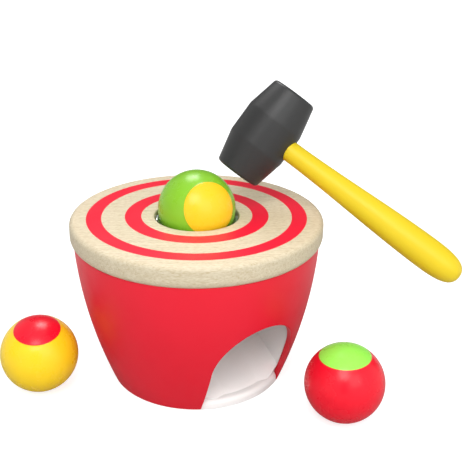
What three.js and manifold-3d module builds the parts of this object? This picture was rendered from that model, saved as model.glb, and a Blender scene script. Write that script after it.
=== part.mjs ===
// Ball pounding drum: a flared moulded drum with a beech lid, a ball held in the lid's hole by four
// spring clips, a chute inside that sends the ball out of the arch in front, two more balls, a hammer.
// Millimetres, +Z up. The drum's axis is Z, its foot stands at Z = 0 and the ball exit faces -Y.
import * as THREE from 'three';
import { mergeVertices } from 'three/addons/utils/BufferGeometryUtils.js';
import Module from 'manifold-3d';

const wasm = await Module();
wasm.setup();

// Clearances
const FIT = 0.3; // round a piece that sits in another
const SEAT = 0.1; // under a flat face that lies on another
const PLAY = 0.2; // round a screw's shank

// Balls
const BALL_R = 24;
const BALL_PROUD = 4.3; // how far the waiting ball's centre stands above the lid

// Drum shell
const SHELL_TOP = 92.2;
const SHELL_LIFT = 0.3; // the base plate stands on the floor, the shell just clears it
const FOOT_R = 55.4;
const RIM_R = 76.5;
const BULGE = 3.95; // how far the side swells beyond a straight cone, half way up
const WALL = 4;

// Ball exit: an arch cut straight through the front of the shell
const EXIT_PLAY = 5.2; // each side of a ball
const EXIT_SPRING = 30; // height at which the round top begins

// Beech lid
const LID_OVERHANG = 2; // beyond the shell's rim
const LID_T = 14;
const LID_TOP_ROUND = 3;
const LID_FOOT_ROUND = 5;
const HOLE_PLAY = 2.3; // each side of a ball
const HOLE_ROUND = 0.9;

// Spring clips, bent from steel strip
const CLIP_COUNT = 4;
const CLIP_TURN = -36; // degrees, of the first clip
const CLIP_T = 0.6;
const CLIP_W = 8;
const CLIP_FOOT = 14; // reach of the foot under the lid
const CLIP_EDGE = 0.9; // from the screw's head to the foot's end
const CLIP_DROP = 2; // top of the clip below the lid's top
const CLIP_HEEL_BEND = 1.2;
const CLIP_TOP_BEND = 0.65;
const CLIP_CREST = 4.2; // height of the finger's end above the lid's underside
const CLIP_TAIL = [1.7, -2.6]; // the finger's outward turned tip

// Base plate
const BASE_T = 5.8;
const BASE_LIP_ROUND = 3;
const BASE_FOOT_ROUND = 0.6;

// Chute: a well below the hole with a sloping gutter for its floor
const CHUTE_PLAY = 0.7; // how far its sides lie behind the jambs
const CHUTE_WALL = 2.5;
const CHUTE_TOP = 62;
const RAMP_ANGLE = 30;
const RAMP_SETBACK = 5.2; // of the ramp's foot behind the shell's foot
const RAMP_LIP = 0.5;
const RAMP_TOE = 11; // of the ramp that is solid behind its foot
const GUTTER_FLAT = 12; // half-width of the gutter's flat bottom
const GUTTER_BANK = 12; // degrees by which its sides rise beyond that
const MOUTH_HALF = 13; // half-width of the round stretch of the ramp's foot
const MOUTH_FLARE = 10; // degrees by which the mouth opens beyond that
const MOUTH_LEAN = 1; // how far the mouth's sides fall back for each millimetre of height
const MOUTH_H = 8;

// Screws
const SHANK_R = 1.6;
const HEAD_R = 3.3;
const HEAD_H = 2.2;
const HEAD_FLAT_R = 2.3; // of the flat on top of the head
const SCREW_TIP = 2.5;
const SCREW_BITE = 9; // length of shank in the piece that it holds
const RECESS_W = 0.9;
const RECESS_L = 3.6;
const RECESS_DEPTH = 1.2;
const SINK_DEPTH = 3; // of a sunk screw head in the base plate
const SINK_PLAY = 0.6;

// Screw bosses and lugs
const BOSS_R = 4.2;
const BOSS_H = 18;
const BOSS_GAP = 3.2; // from a base boss to the shell's wall, at the base plate's top
const BOSS_RIB = 3;
const BOSS_TURNS = [22.5, 157.5, 202.5, 337.5];
const LUG_T = 5;
const LUG_W = 14;
const LUG_REACH = 13;
const LUG_TURNS = [45, 135, 225, 315];
const CHUTE_SCREW_X = 14;

// Balls on the floor: direction from the drum's axis and distance of the centre from the shell's foot
const RED_BALL = { turn: -69.9, distance: 52.7 };
const YELLOW_BALL = { turn: 161.2, distance: 46.9 };

// Hammer, in mid swing: its head hangs beside and above the waiting ball
const HEAD_LENGTH = 61.3;
const HEAD_FACE_R = 14.5;
const HEAD_MID_R = 19;
const HEAD_MID_LENGTH = 19.8;
const HEAD_ROUND = 1.5;
const HANDLE_LENGTH = 126.5; // outside the head
const HANDLE_ROOT_R = 6.5;
const HANDLE_GRIP_R = 9.9;
const HANDLE_GRIP_AT = 103; // from the head's side
const HANDLE_END = { full: 0.7, blunt: 0.75 }; // shares of the rounded end that stay wide and that run square
const TENON_DEPTH = 26;
const HAMMER_FROM_BALL = new THREE.Vector3(44.8, -10.1, 43.1); // head's centre from the ball's
const SWING_PLANE = { turn: -49.1, lean: -22.3 };
const SWING_ANGLE = 31.5;

// Facets
const ROUND_STEPS = 60;
const SIDE_STEPS = 6;
const BALL_STEPS = 20;
const HAMMER_STEPS = 28;
const SCREW_STEPS = 10;
const ARC_STEPS = 4;

// Heights and radii that follow
const LID_BOTTOM = SHELL_TOP + SEAT;
const LID_TOP = LID_BOTTOM + LID_T;
const LID_R = RIM_R + LID_OVERHANG;
const HOLE_R = BALL_R + HOLE_PLAY;
const BALL_Z = LID_TOP + BALL_PROUD;
const EXIT_HALF = BALL_R + EXIT_PLAY;
const CHUTE_BOTTOM = BASE_T + SEAT;
const CHUTE_HALF = EXIT_HALF + CHUTE_PLAY;
const RAMP_FOOT_R = FOOT_R - RAMP_SETBACK;
const PILOT_R = SHANK_R + PLAY;
const RAMP_SLOPE = THREE.MathUtils.degToRad(RAMP_ANGLE);
const BEYOND = 40; // cutting tools run this far past what they cut
const OVERCUT = 0.2; // and this far into a side that they would only graze
const WELD = 1e-4;

const FINISHES = {
  redShell: { color: 0xe0203a, roughness: 0.35, metalness: 0 },
  beech: { color: 0xead9b5, roughness: 0.6, metalness: 0 },
  whitePlastic: { color: 0xe6e3e0, roughness: 0.45, metalness: 0 },
  springSteel: { color: 0xb9bbc4, roughness: 0.25, metalness: 1 },
  screwSteel: { color: 0x9a9ca3, roughness: 0.35, metalness: 1 },
  greenPaint: { color: 0x8cc63c, roughness: 0.35, metalness: 0 },
  yellowPaint: { color: 0xffd52e, roughness: 0.35, metalness: 0 },
  redPaint: { color: 0xe2203a, roughness: 0.35, metalness: 0 },
  headGrey: { color: 0x424244, roughness: 0.45, metalness: 0 },
};

const radians = THREE.MathUtils.degToRad;

// Solids

function solid(geometry) {
  geometry.deleteAttribute('normal');
  geometry.deleteAttribute('uv');
  const welded = mergeVertices(geometry, WELD);
  const corners = welded.index.array;
  const triangles = [];
  for (let i = 0; i < corners.length; i += 3) {
    const triangle = Array.from(corners.slice(i, i + 3));
    if (new Set(triangle).size === 3) {
      triangles.push(...triangle);
    }
  }
  return new wasm.Manifold(new wasm.Mesh({
    numProp: 3,
    vertProperties: Float32Array.from(welded.attributes.position.array),
    triVerts: Uint32Array.from(triangles),
  }));
}

// A piece turned on the Z axis, from an outline of [radius, height] that runs anticlockwise
function turned(outline, steps = ROUND_STEPS) {
  const points = outline.map(([radius, height]) => new THREE.Vector2(radius, height));
  if (outline[0][0] > 0) {
    points.push(points[0].clone());
  }
  return solid(new THREE.LatheGeometry(points, steps).rotateX(Math.PI / 2));
}

// An outline drawn in X and Y, carried up from one height to another
function upright(shape, bottom, top) {
  const geometry = new THREE.ExtrudeGeometry(shape, {
    depth: top - bottom,
    bevelEnabled: false,
    curveSegments: ROUND_STEPS / 4,
  });
  return solid(geometry.translate(0, 0, bottom));
}

function rod(radius, bottom, top, x = 0, y = 0, steps = SCREW_STEPS * 2) {
  const geometry = new THREE.CylinderGeometry(radius, radius, top - bottom, steps);
  return solid(geometry.rotateX(Math.PI / 2).translate(x, y, (bottom + top) / 2));
}

function block(width, depth, bottom, top, x = 0, y = 0) {
  const geometry = new THREE.BoxGeometry(width, depth, top - bottom);
  return solid(geometry.translate(x, y, (bottom + top) / 2));
}

// Points of a quarter or half round in an outline of [radius, height]
function arc(centre, radius, from, to, steps = ARC_STEPS) {
  return Array.from({ length: steps + 1 }, (_, i) => {
    const angle = radians(from + ((to - from) * i) / steps);
    return [centre[0] + radius * Math.cos(angle), centre[1] + radius * Math.sin(angle)];
  });
}

function piece(name, body, finish) {
  const { vertProperties, triVerts } = body.getMesh();
  const geometry = new THREE.BufferGeometry();
  geometry.setAttribute('position', new THREE.BufferAttribute(vertProperties, 3));
  geometry.setIndex(new THREE.BufferAttribute(triVerts, 1));
  geometry.computeVertexNormals();
  const mesh = new THREE.Mesh(geometry, new THREE.MeshStandardMaterial(finish));
  mesh.name = name;
  return mesh;
}

// Drum shell

function outerRadius(z) {
  const share = z / SHELL_TOP;
  return FOOT_R + (RIM_R - FOOT_R) * share + 4 * BULGE * share * (1 - share);
}

const innerRadius = (z) => outerRadius(z) - WALL;

// Heights at which the drum's curved side is drawn
function sideHeights(bottom, top) {
  return Array.from({ length: SIDE_STEPS + 1 }, (_, i) => bottom + ((top - bottom) * i) / SIDE_STEPS);
}

// Everything inside the shell's wall, less a clearance
function cavity(bottom, top, clearance) {
  const side = sideHeights(SHELL_LIFT, SHELL_TOP);
  const below = [innerRadius(SHELL_LIFT) - clearance, -BEYOND];
  const wall = side.map((z) => [innerRadius(z) - clearance, z]);
  const whole = turned([[0, -BEYOND], below, ...wall, [0, SHELL_TOP]]);
  return whole.intersect(block(RIM_R * 3, RIM_R * 3, bottom, top));
}

function exitPrism(clearance) {
  const half = EXIT_HALF - clearance;
  const arch = new THREE.Shape();
  arch.moveTo(half, -BEYOND);
  arch.lineTo(half, EXIT_SPRING);
  arch.absarc(0, EXIT_SPRING, half, 0, Math.PI, false);
  arch.lineTo(-half, -BEYOND);
  const geometry = new THREE.ExtrudeGeometry(arch, {
    depth: RIM_R + BEYOND,
    bevelEnabled: false,
    curveSegments: ROUND_STEPS / 3,
  });
  return solid(geometry.rotateX(Math.PI / 2));
}

const bossRadius = innerRadius(CHUTE_BOTTOM) - BOSS_GAP - BOSS_R;
const lugRadius = innerRadius(SHELL_TOP) - LUG_REACH / 2;

// Boss for a base screw, with the rib that ties it to the wall
function screwBoss(clearance) {
  const top = CHUTE_BOTTOM + BOSS_H;
  const ribLength = outerRadius(top) - bossRadius;
  const ribWidth = BOSS_RIB + 2 * clearance;
  const rib = block(ribLength, ribWidth, CHUTE_BOTTOM, top + clearance, bossRadius + ribLength / 2);
  return rod(BOSS_R + clearance, CHUTE_BOTTOM, top + clearance, bossRadius).add(rib);
}

function drumShell() {
  const side = sideHeights(SHELL_LIFT, SHELL_TOP);
  const outside = side.map((z) => [outerRadius(z), z]);
  const inside = side.map((z) => [innerRadius(z), z]).reverse();
  const core = turned([[0, SHELL_LIFT], ...outside, [0, SHELL_TOP]]);
  let shell = turned([...outside, ...inside]);
  const bossPilot = rod(PILOT_R, -BEYOND, CHUTE_BOTTOM + SCREW_BITE + PLAY, bossRadius);
  for (const turn of BOSS_TURNS) {
    shell = shell.add(screwBoss(0).rotate([0, 0, turn]).intersect(core));
    shell = shell.subtract(bossPilot.rotate([0, 0, turn]));
  }
  const lug = block(LUG_REACH + WALL, LUG_W, SHELL_TOP - LUG_T, SHELL_TOP, lugRadius + WALL / 2);
  const lugHole = rod(PILOT_R, SHELL_TOP - LUG_T - BEYOND, SHELL_TOP + BEYOND, lugRadius);
  for (const turn of LUG_TURNS) {
    shell = shell.add(lug.rotate([0, 0, turn]).intersect(core));
    shell = shell.subtract(lugHole.rotate([0, 0, turn]));
  }
  return shell.subtract(exitPrism(0));
}

// Beech lid

const clipScrewRadius = HOLE_R + CLIP_FOOT - CLIP_EDGE - HEAD_R;
const clipTurns = Array.from({ length: CLIP_COUNT }, (_, i) => CLIP_TURN + (360 * i) / CLIP_COUNT);

function woodLid() {
  const footRound = Math.min(LID_FOOT_ROUND, LID_T / 2);
  const outline = [
    ...arc([HOLE_R + HOLE_ROUND, LID_TOP - HOLE_ROUND], HOLE_ROUND, 90, 180, 2),
    ...arc([HOLE_R + HOLE_ROUND, LID_BOTTOM + HOLE_ROUND], HOLE_ROUND, 180, 270, 2),
    ...arc([LID_R - footRound, LID_BOTTOM + footRound], footRound, -90, 0),
    ...arc([LID_R - LID_TOP_ROUND, LID_TOP - LID_TOP_ROUND], LID_TOP_ROUND, 0, 90),
  ];
  let lid = turned(outline);
  const lidPilot = rod(PILOT_R, LID_BOTTOM - BEYOND, LID_BOTTOM + SCREW_BITE + PLAY, lugRadius);
  for (const turn of LUG_TURNS) {
    lid = lid.subtract(lidPilot.rotate([0, 0, turn]));
  }
  const clipPilot = rod(PILOT_R, LID_BOTTOM - BEYOND, LID_BOTTOM + SCREW_BITE + PLAY, clipScrewRadius);
  for (const turn of clipTurns) {
    lid = lid.subtract(clipPilot.rotate([0, 0, turn]));
  }
  return lid;
}

// Spring clip: foot under the lid, strand up the hole's wall, hairpin top, finger down towards the ball

function clipCentreLine() {
  const footZ = LID_BOTTOM - SEAT - CLIP_T / 2;
  // The flat strand's corners clear the round wall by the fit
  const strandR = Math.sqrt((HOLE_R - FIT) ** 2 - (CLIP_W / 2) ** 2) - CLIP_T / 2;
  const topZ = LID_TOP - CLIP_DROP - CLIP_T / 2;
  const hairpin = [strandR - CLIP_TOP_BEND, topZ - CLIP_TOP_BEND];
  // The finger is tangent to the hairpin and clears the waiting ball by the fit
  const fingerFromBall = BALL_R + FIT + CLIP_T / 2;
  const reach = Math.hypot(hairpin[0], BALL_Z - hairpin[1]);
  const lean = Math.atan2(BALL_Z - hairpin[1], hairpin[0])
    + Math.acos((fingerFromBall + CLIP_TOP_BEND) / reach);
  const leanDegrees = THREE.MathUtils.radToDeg(lean);
  const crestZ = LID_BOTTOM + CLIP_CREST;
  const crestR = (fingerFromBall - (BALL_Z - crestZ) * Math.sin(lean)) / Math.cos(lean);
  const heel = [strandR + CLIP_HEEL_BEND, footZ + CLIP_HEEL_BEND];
  return [
    [HOLE_R + CLIP_FOOT, footZ],
    ...arc(heel, CLIP_HEEL_BEND, -90, -180),
    ...arc(hairpin, CLIP_TOP_BEND, 0, 180 - leanDegrees, ARC_STEPS + 2),
    [crestR, crestZ],
    [crestR + CLIP_TAIL[0], crestZ + CLIP_TAIL[1]],
  ];
}

// Both faces of a bent strip, from its centre line
function stripShape(line, thickness) {
  const points = line.map(([x, y]) => new THREE.Vector2(x, y));
  const directions = points.slice(1).map((point, i) => point.clone().sub(points[i]).normalize());
  const faces = [1, -1].map((side) => points.map((point, i) => {
    const before = directions[Math.max(i - 1, 0)];
    const after = directions[Math.min(i, directions.length - 1)];
    const along = before.clone().add(after).normalize();
    const offset = (side * thickness) / 2 / along.dot(after);
    return new THREE.Vector2(point.x - along.y * offset, point.y + along.x * offset);
  }));
  return new THREE.Shape([...faces[0], ...faces[1].reverse()]);
}

function springClip() {
  const geometry = new THREE.ExtrudeGeometry(stripShape(clipCentreLine(), CLIP_T), {
    depth: CLIP_W,
    bevelEnabled: false,
  });
  const strip = solid(geometry.translate(0, 0, -CLIP_W / 2).rotateX(Math.PI / 2));
  const hole = rod(PILOT_R, LID_BOTTOM - BEYOND, LID_BOTTOM, clipScrewRadius);
  return strip.subtract(hole);
}

// Screws: the head's flat face lies at Z = 0 and the shank points up

function screw(grip) {
  const shankTop = grip + SCREW_BITE - SCREW_TIP;
  const body = turned([
    [0, -HEAD_H],
    [HEAD_FLAT_R, -HEAD_H],
    [HEAD_R, -HEAD_H / 2],
    [HEAD_R, 0],
    [SHANK_R, 0],
    [SHANK_R, shankTop],
    [0, shankTop + SCREW_TIP],
  ], SCREW_STEPS);
  const recessTop = RECESS_DEPTH - HEAD_H;
  const recess = block(RECESS_L, RECESS_W, -HEAD_H - BEYOND, recessTop)
    .add(block(RECESS_W, RECESS_L, -HEAD_H - BEYOND, recessTop));
  return body.subtract(recess);
}

function screwRing(name, turns, radius, headZ, grip) {
  return turns.map((turn, i) => {
    const spoke = new THREE.Group();
    spoke.rotation.z = radians(turn);
    const mesh = piece(`${name}_${i + 1}`, screw(grip), FINISHES.screwSteel);
    mesh.position.set(radius, 0, headZ);
    spoke.add(mesh);
    return spoke;
  });
}

// Base plate: a disc inside the shell, with a tongue that fills the foot of the exit

function basePlate() {
  const disc = cavity(0, BASE_T, FIT);
  const lipRound = Math.min(BASE_LIP_ROUND, BASE_T - 2 * BASE_FOOT_ROUND);
  const tongue = turned([
    [0, 0],
    [FOOT_R - BASE_FOOT_ROUND, 0],
    [FOOT_R, BASE_FOOT_ROUND],
    ...arc([FOOT_R - lipRound, BASE_T - lipRound], lipRound, 0, 90),
    [0, BASE_T],
  ]).intersect(exitPrism(FIT));
  let plate = disc.add(tongue);
  const sink = rod(HEAD_R + SINK_PLAY, -BEYOND, SINK_DEPTH).add(rod(PILOT_R, -BEYOND, BASE_T + BEYOND));
  for (const turn of BOSS_TURNS) {
    plate = plate.subtract(sink.translate([bossRadius, 0, 0]).rotate([0, 0, turn]));
  }
  for (const side of [-1, 1]) {
    plate = plate.subtract(sink.translate([side * CHUTE_SCREW_X, 0, 0]));
  }
  return plate;
}

// Chute

// Outline from above: straight sides towards the exit, half round at the back
function wellShape(half) {
  const shape = new THREE.Shape();
  shape.moveTo(half, -RIM_R);
  shape.lineTo(half, 0);
  shape.absarc(0, 0, half, 0, Math.PI, false);
  shape.lineTo(-half, -RIM_R);
  return shape;
}

// Everything above the gutter, which slopes down to the ramp's foot
function gutterTool() {
  const half = CHUTE_HALF + OVERCUT;
  const bank = (half - GUTTER_FLAT) * Math.tan(radians(GUTTER_BANK));
  const section = new THREE.Shape();
  section.moveTo(half, CHUTE_TOP + BEYOND);
  section.lineTo(-half, CHUTE_TOP + BEYOND);
  section.lineTo(-half, bank);
  section.lineTo(-GUTTER_FLAT, 0);
  section.lineTo(GUTTER_FLAT, 0);
  section.lineTo(half, bank);
  const uphill = 2 * RIM_R;
  const geometry = new THREE.ExtrudeGeometry(section, { depth: uphill + BEYOND, bevelEnabled: false });
  geometry.translate(0, 0, -uphill).rotateX(Math.PI / 2 + RAMP_SLOPE);
  return solid(geometry.translate(0, -RAMP_FOOT_R, CHUTE_BOTTOM + RAMP_LIP));
}

// The base plate's open rim in front of the ramp, between sides that fall back
function mouthTool() {
  const corner = Math.asin(MOUTH_HALF / RAMP_FOOT_R);
  const cornerY = -RAMP_FOOT_R * Math.cos(corner);
  const outerX = CHUTE_HALF + OVERCUT;
  const outerY = cornerY - (outerX - MOUTH_HALF) * Math.tan(radians(MOUTH_FLARE));
  const shape = new THREE.Shape();
  shape.absarc(0, 0, RAMP_FOOT_R, -Math.PI / 2 - corner, -Math.PI / 2 + corner, false);
  shape.lineTo(outerX, outerY);
  shape.lineTo(outerX, -RIM_R - BEYOND);
  shape.lineTo(-outerX, -RIM_R - BEYOND);
  shape.lineTo(-outerX, outerY);
  const geometry = new THREE.ExtrudeGeometry(shape, {
    depth: BEYOND + MOUTH_H,
    bevelEnabled: false,
    curveSegments: ROUND_STEPS / 4,
  });
  const lean = new THREE.Matrix4().makeShear(0, 0, 0, 0, 0, MOUTH_LEAN);
  geometry.translate(0, 0, -BEYOND).applyMatrix4(lean);
  return solid(geometry.translate(0, 0, CHUTE_BOTTOM));
}

function ballChute() {
  const gutter = gutterTool();
  const well = upright(wellShape(CHUTE_HALF), CHUTE_BOTTOM - BEYOND, CHUTE_TOP + BEYOND);
  const floorDrop = CHUTE_WALL / Math.cos(RAMP_SLOPE);
  const toeY = RAMP_TOE - RAMP_FOOT_R - RIM_R / 2;
  const toe = block(RIM_R * 2, RIM_R, CHUTE_BOTTOM - BEYOND, CHUTE_TOP + BEYOND, 0, toeY);
  const underside = well.subtract(gutter.translate([0, 0, -floorDrop])).subtract(toe);
  let chute = upright(wellShape(CHUTE_HALF + CHUTE_WALL), CHUTE_BOTTOM, CHUTE_TOP)
    .intersect(cavity(CHUTE_BOTTOM, CHUTE_TOP, FIT))
    .subtract(gutter.intersect(well))
    .subtract(underside);
  for (const side of [-1, 1]) {
    const x = side * CHUTE_SCREW_X;
    chute = chute.add(rod(BOSS_R, CHUTE_BOTTOM, CHUTE_TOP, x).subtract(gutter));
    chute = chute.subtract(rod(PILOT_R, -BEYOND, CHUTE_BOTTOM + SCREW_BITE + PLAY, x));
  }
  // Where the drum is narrow, the chute's sides make room for the base screws' bosses
  for (const turn of BOSS_TURNS) {
    chute = chute.subtract(screwBoss(FIT).rotate([0, 0, turn]));
  }
  return chute.subtract(mouthTool());
}

// Balls

function ball(name, finish, x, y, z) {
  const sphere = new THREE.SphereGeometry(BALL_R, BALL_STEPS, BALL_STEPS / 2 + 2);
  const mesh = piece(name, solid(sphere.rotateX(Math.PI / 2)), finish);
  mesh.position.set(x, y, z);
  return mesh;
}

function floorBall(name, finish, { turn, distance }) {
  const radius = FOOT_R + distance;
  const angle = radians(turn);
  return ball(name, finish, radius * Math.cos(angle), radius * Math.sin(angle), BALL_R);
}

// Hammer: the head's axis is Z and the handle points along X

function hammerHead(handleRadius) {
  const half = HEAD_LENGTH / 2;
  const mid = HEAD_MID_LENGTH / 2;
  const faceR = HEAD_FACE_R - HEAD_ROUND;
  const head = turned([
    [0, -half],
    ...arc([faceR, HEAD_ROUND - half], HEAD_ROUND, -90, -15, 3),
    [HEAD_MID_R, -mid],
    [HEAD_MID_R, mid],
    ...arc([faceR, half - HEAD_ROUND], HEAD_ROUND, 15, 90, 3),
    [0, half],
  ], HAMMER_STEPS);
  const socketEnd = HEAD_MID_R - TENON_DEPTH - FIT;
  const socket = rod(handleRadius + FIT, socketEnd, HEAD_MID_R + BEYOND, 0, 0, HAMMER_STEPS);
  return head.subtract(socket.rotate([0, 90, 0]));
}

function hammerHandle() {
  const grip = HEAD_MID_R + HANDLE_GRIP_AT;
  const tip = HEAD_MID_R + HANDLE_LENGTH;
  const swell = new THREE.CubicBezierCurve(
    new THREE.Vector2(HANDLE_ROOT_R, HEAD_MID_R),
    new THREE.Vector2(HANDLE_ROOT_R, HEAD_MID_R + HANDLE_GRIP_AT / 3),
    new THREE.Vector2(HANDLE_GRIP_R, grip - HANDLE_GRIP_AT / 3),
    new THREE.Vector2(HANDLE_GRIP_R, grip),
  );
  const end = new THREE.CubicBezierCurve(
    new THREE.Vector2(HANDLE_GRIP_R, grip),
    new THREE.Vector2(HANDLE_GRIP_R, grip + (tip - grip) * HANDLE_END.full),
    new THREE.Vector2(HANDLE_GRIP_R * HANDLE_END.blunt, tip),
    new THREE.Vector2(0, tip),
  );
  const side = [...swell.getPoints(SIDE_STEPS), ...end.getPoints(SIDE_STEPS).slice(1)];
  const tenonEnd = HEAD_MID_R - TENON_DEPTH;
  const outline = [[0, tenonEnd], [HANDLE_ROOT_R, tenonEnd], ...side.map((point) => [point.x, point.y])];
  return turned(outline, HAMMER_STEPS).rotate([0, 90, 0]);
}

function hammer() {
  const swing = new THREE.Group();
  swing.rotation.y = radians(SWING_ANGLE);
  swing.add(piece('hammer_head', hammerHead(HANDLE_ROOT_R), FINISHES.headGrey));
  swing.add(piece('hammer_handle', hammerHandle(), FINISHES.yellowPaint));
  const plane = new THREE.Group();
  plane.rotation.set(radians(SWING_PLANE.lean), 0, radians(SWING_PLANE.turn), 'ZXY');
  plane.position.set(0, 0, BALL_Z).add(HAMMER_FROM_BALL);
  plane.add(swing);
  return plane;
}

// Assembly

function clipRing() {
  return clipTurns.map((turn, i) => {
    const spoke = new THREE.Group();
    spoke.rotation.z = radians(turn);
    spoke.add(piece(`spring_clip_${i + 1}`, springClip(), FINISHES.springSteel));
    return spoke;
  });
}

const clipFootBottom = LID_BOTTOM - SEAT - CLIP_T;
const sunkHeadZ = SINK_DEPTH - SEAT;
const sunkGrip = CHUTE_BOTTOM - sunkHeadZ;

const drum = new THREE.Group();
drum.add(piece('drum_shell', drumShell(), FINISHES.redShell));
drum.add(piece('wood_lid', woodLid(), FINISHES.beech));
drum.add(piece('base_plate', basePlate(), FINISHES.whitePlastic));
drum.add(piece('ball_chute', ballChute(), FINISHES.whitePlastic));
drum.add(...clipRing());
drum.add(...screwRing('clip_screw', clipTurns, clipScrewRadius, clipFootBottom - SEAT, CLIP_T + 2 * SEAT));
drum.add(...screwRing('lid_screw', LUG_TURNS, lugRadius, SHELL_TOP - LUG_T - SEAT, LUG_T + 2 * SEAT));
drum.add(...screwRing('base_screw', BOSS_TURNS, bossRadius, sunkHeadZ, sunkGrip));
drum.add(...screwRing('chute_screw', [0, 180], CHUTE_SCREW_X, sunkHeadZ, sunkGrip));

const toy = new THREE.Group();
toy.add(drum);
toy.add(ball('green_ball', FINISHES.greenPaint, 0, 0, BALL_Z));
toy.add(floorBall('yellow_ball', FINISHES.yellowPaint, YELLOW_BALL));
toy.add(floorBall('red_ball', FINISHES.redPaint, RED_BALL));
toy.add(hammer());

export default toy;
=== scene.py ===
# Ball pounding drum: finished pieces, surfaces and a plain studio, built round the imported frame.
# Metres, +Z up. The drum's axis is Z, it stands on Z = 0 and its ball exit faces -Y.
import math

import bmesh
import bpy
from mathutils import Matrix, Quaternion, Vector
from mathutils.geometry import interpolate_bezier


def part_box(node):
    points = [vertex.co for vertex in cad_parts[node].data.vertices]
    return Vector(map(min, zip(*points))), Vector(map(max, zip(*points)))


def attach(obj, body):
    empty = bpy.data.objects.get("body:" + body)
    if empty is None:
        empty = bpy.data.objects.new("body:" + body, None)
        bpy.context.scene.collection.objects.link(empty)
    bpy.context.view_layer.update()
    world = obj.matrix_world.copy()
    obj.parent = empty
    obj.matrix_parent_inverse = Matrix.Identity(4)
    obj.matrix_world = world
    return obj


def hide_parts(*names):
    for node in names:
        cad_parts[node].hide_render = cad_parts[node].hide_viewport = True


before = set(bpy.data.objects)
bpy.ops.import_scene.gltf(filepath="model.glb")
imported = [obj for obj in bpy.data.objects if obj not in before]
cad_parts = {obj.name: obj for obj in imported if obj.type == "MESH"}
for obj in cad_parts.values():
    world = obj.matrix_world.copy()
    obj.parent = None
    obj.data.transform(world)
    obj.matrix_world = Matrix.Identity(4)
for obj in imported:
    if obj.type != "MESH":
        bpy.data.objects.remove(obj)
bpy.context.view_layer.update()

MM = 0.001
UP = Vector((0, 0, 1))
Y_AXIS = Vector((0, 1, 0))

# Places that the frame gives
LID_LOW, LID_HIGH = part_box("wood_lid")
SHELL_LOW, SHELL_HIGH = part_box("drum_shell")
CHUTE_LOW, CHUTE_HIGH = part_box("ball_chute")
WAITING_LOW, WAITING_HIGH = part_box("green_ball")
WAITING_BALL = (WAITING_LOW + WAITING_HIGH) / 2
BALL_R = (WAITING_HIGH.z - WAITING_LOW.z) / 2
LID_R = LID_HIGH.x
LID_BOTTOM = LID_LOW.z
LID_TOP = LID_HIGH.z
RIM_R = SHELL_HIGH.x
SHELL_FOOT = SHELL_LOW.z
SHELL_TOP = SHELL_HIGH.z
BASE_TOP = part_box("base_plate")[1].z
CHUTE_FOOT = CHUTE_LOW.z
CHUTE_TOP = CHUTE_HIGH.z

# Drum shell
FOOT_R = 55.4 * MM
BULGE = 3.95 * MM
WALL = 4 * MM
EDGE_ROUND = 0.5 * MM
RIM_EDGE = 0.2 * MM
EXIT_HALF = BALL_R + 5.2 * MM
EXIT_SPRING = 30 * MM
EXIT_EDGE = 0.35 * MM
EXIT_FOLD = math.radians(50)
BOSS_R = 4.2 * MM
BOSS_H = 18 * MM
RIB_T = 3 * MM
LUG_T = 5 * MM
LUG_W = 14 * MM
LUG_REACH = 13 * MM

# Beech lid and its painted rings, outer radius before inner
HOLE_R = BALL_R + 2.3 * MM
HOLE_ROUND = 0.9 * MM
LID_TOP_ROUND = 3 * MM
LID_FOOT_ROUND = 5 * MM
RINGS = [(68.2 * MM, 58.9 * MM), (44.5 * MM, 34.4 * MM)]
PAINT_T = 0.05 * MM
PAINT_SLOPE = 0.1 * MM

# Base plate and chute
FIT = 0.3 * MM
BASE_LIP_ROUND = 3 * MM
BASE_FOOT_ROUND = 0.6 * MM
SINK_R = 3.9 * MM
SINK_DEPTH = 3 * MM
CHUTE_HALF = EXIT_HALF + 0.7 * MM
CHUTE_WALL = 2.5 * MM
RAMP_SLOPE = math.radians(30)
RAMP_FOOT_R = FOOT_R - 5.2 * MM
RAMP_LIP = 0.5 * MM
RAMP_TOE = 11 * MM
GUTTER_FLAT = 12 * MM
GUTTER_BANK = math.radians(12)
OVERCUT = 0.2 * MM
VALLEY_ROUND = 5 * MM
MOUTH_HALF = 13 * MM
MOUTH_FLARE = math.radians(10)
MOUTH_LEAN = 1
MOUTH_H = 8 * MM

# Spring clips
CLIP_COUNT = 4
CLIP_TURN = -36
CLIP_T = 0.6 * MM
CLIP_W = 8 * MM
CLIP_FOOT = 14 * MM
CLIP_DROP = 2 * MM
CLIP_HEEL_BEND = 1.2 * MM
CLIP_TOP_BEND = 0.65 * MM
CLIP_CREST = 4.2 * MM
CLIP_TAIL = Vector((1.7, 0, -2.6)) * MM
CLIP_SEAT = 0.1 * MM
CLIP_EDGE = 0.12 * MM
CLIP_FOLD = math.radians(60)

# Screws: how many of each kind, and the one form that they share
SCREW_COUNT = {"clip_screw": 4, "lid_screw": 4, "base_screw": 4, "chute_screw": 2}
SCREW_HEAD_R = 3.3 * MM
SCREW_HEAD_H = 2.2 * MM
SCREW_HEAD_FLAT = 1.4 * MM
SCREW_SHANK_R = 1.6 * MM
SCREW_TIP = 2.5 * MM
RECESS_W = 0.9 * MM
RECESS_L = 3.6 * MM
RECESS_DEPTH = 1.2 * MM
SCREW_STOP = 137.5

# Painted dots: direction from the ball's centre and half-angle in degrees
DOT_STEP = 0.05 * MM
DOT_EDGE = 0.25
GREEN_BALL_DOT = (Vector((-0.148, -0.939, 0.309)), 42.0)
YELLOW_BALL_DOT = (Vector((-0.093, -0.197, 0.976)), 36.2)
RED_BALL_DOT = (Vector((-0.047, 0.007, 0.999)), 39.5)

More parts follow.
